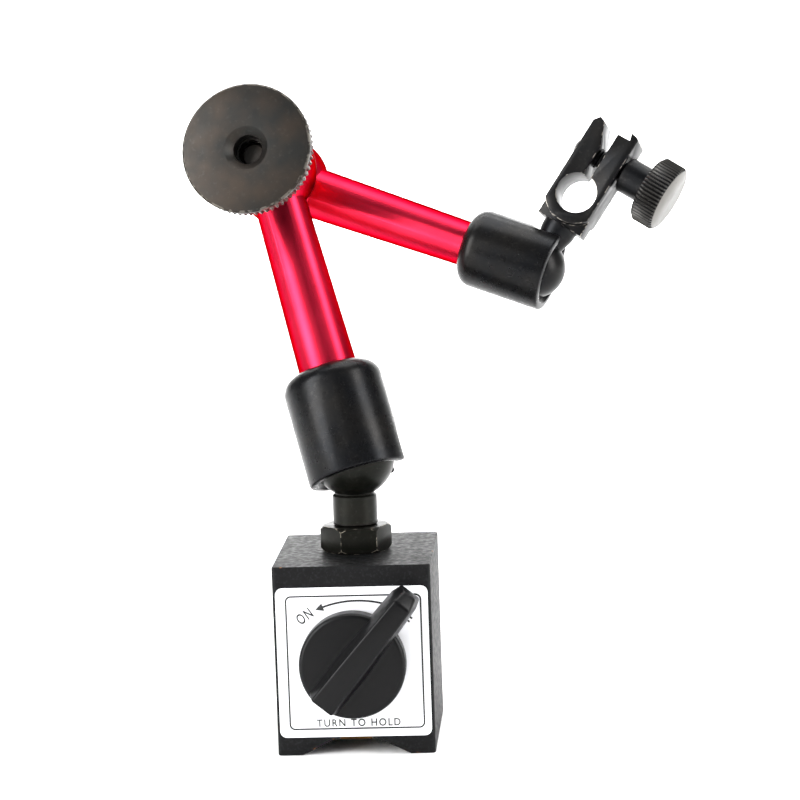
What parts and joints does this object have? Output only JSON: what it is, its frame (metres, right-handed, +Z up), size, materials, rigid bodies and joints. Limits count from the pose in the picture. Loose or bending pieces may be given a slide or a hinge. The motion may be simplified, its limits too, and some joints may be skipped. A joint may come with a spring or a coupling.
{
  "type": "magnetic indicator stand",
  "caption": "Small switchable magnetic base with two red arms locked by one central knob, ending in a split clamp for a dial indicator.",
  "frame": {"origin": "middle of the magnetic base at its bottom, on the plane of the two foot strips", "axes": "+Z up, -Y the side with the switch and the label plate, +X to the right seen from that side; the vee groove runs along Y"},
  "size_m": [0.097, 0.0649, 0.1266],
  "materials": {
    "pole_paint": "satin black enamel over ground soft iron, slightly rough",
    "brass": "plain milled brass",
    "magnet": "dark sintered magnet",
    "bright_steel": "plain turned steel",
    "label_aluminium": "white satin aluminium plate with black print",
    "black_plastic": "moulded black plastic, slightly glossy",
    "black_oxide_steel": "black oxide on turned steel, satin",
    "browned_steel": "black oxide with a brownish tone",
    "red_anodised": "bright red anodised turned aluminium",
    "spring_steel": "hardened spring steel"
  },
  "bodies": {
    "base": {"left_pole_block": "pole_paint", "right_pole_block": "pole_paint", "top_separator": "pole_paint", "bottom_separator": "brass", "front_bush": "brass", "rear_cap": "black_oxide_steel", "label_plate": "label_aluminium", "lock_nut": "browned_steel"},
    "switch": {"switch_knob": "black_plastic", "rotor_shaft": "bright_steel", "magnet_rotor": "magnet", "stop_pin": "bright_steel"},
    "lower_stud": {"lower_ball_stud": "browned_steel"},
    "lower_seat": {"lower_ball_seat": "brass"},
    "lower_arm": {"lower_arm": "red_anodised", "lower_socket": "black_oxide_steel", "hinge_washer": "brass"},
    "lower_rod": {"lower_push_rod": "bright_steel"},
    "knob": {"locking_knob": "browned_steel", "knob_washer": "bright_steel"},
    "stud": {"centre_stud": "bright_steel"},
    "upper_arm": {"upper_arm": "red_anodised", "upper_socket": "black_oxide_steel", "upper_ball_seat": "brass", "disc_spring": "spring_steel"},
    "upper_rod": {"upper_push_rod": "bright_steel"},
    "upper_stud": {"upper_ball_stud": "black_oxide_steel"},
    "clamp": {"clamp_block": "black_oxide_steel"},
    "thumb": {"thumb_screw": "black_oxide_steel"}
  },
  "joints": [
    {"name": "switch_turn", "type": "hinge", "parent": "base", "child": "switch", "pos_m": [0, -0.01735, 0.018], "axis": [0, -1, 0], "range_deg": [0, 90]},
    {"name": "stud_swivel", "type": "hinge", "parent": "base", "child": "lower_stud", "pos_m": [0, 0, 0.0414], "axis": [0, 0, 1], "continuous": true},
    {"name": "lower_tilt", "type": "hinge", "parent": "lower_stud", "child": "lower_seat", "pos_m": [0, 0, 0.0547], "axis": [0.7773, 0.6291, 0], "range_deg": [-5, 50]},
    {"name": "lower_roll", "type": "hinge", "parent": "lower_seat", "child": "lower_arm", "pos_m": [0, 0, 0.0547], "axis": [-0.2622, 0.324, 0.909], "continuous": true},
    {"name": "elbow_fold", "type": "hinge", "parent": "lower_arm", "child": "upper_arm", "pos_m": [-0.01411, 0.02877, 0.106], "axis": [-0.1529, -0.944, 0.2924], "range_deg": [-10, 180]},
    {"name": "knob_turn", "type": "hinge", "parent": "lower_arm", "child": "knob", "pos_m": [-0.01564, 0.01933, 0.10892], "axis": [-0.1529, -0.944, 0.2924], "range_deg": [0, 360]},
    {"name": "stud_slide", "type": "slide", "parent": "lower_arm", "child": "stud", "axis": [0.1529, 0.944, -0.2924], "range_m": [0, 0.0008]},
    {"name": "lower_rod_slide", "type": "slide", "parent": "lower_arm", "child": "lower_rod", "axis": [-0.2622, 0.324, 0.909], "range_m": [0, 0.0003]},
    {"name": "upper_rod_slide", "type": "slide", "parent": "upper_arm", "child": "upper_rod", "axis": [-0.9162, 0.2463, 0.3161], "range_m": [0, 0.0003]},
    {"name": "upper_tilt", "type": "hinge", "parent": "upper_arm", "child": "upper_stud", "pos_m": [0.03582, 0.01534, 0.08877], "axis": [-0.1529, -0.944, 0.2924], "range_deg": [-100, 10]},
    {"name": "clamp_spin", "type": "hinge", "parent": "upper_stud", "child": "clamp", "pos_m": [0.03582, 0.01534, 0.08877], "axis": [0.5542, 0.163, 0.8163], "continuous": true},
    {"name": "thumb_turn", "type": "hinge", "parent": "clamp", "child": "thumb", "pos_m": [0.04951, 0.01937, 0.10893], "axis": [-0.8182, 0.2868, 0.4982], "continuous": true}
  ],
  "couplings": [
    {"joint": "stud_slide", "follows": "knob_turn", "m_per_rad": 0.000127},
    {"joint": "lower_rod_slide", "follows": "knob_turn", "m_per_rad": 0.000046691},
    {"joint": "upper_rod_slide", "follows": "knob_turn", "m_per_rad": 0.000046691}
  ]
}
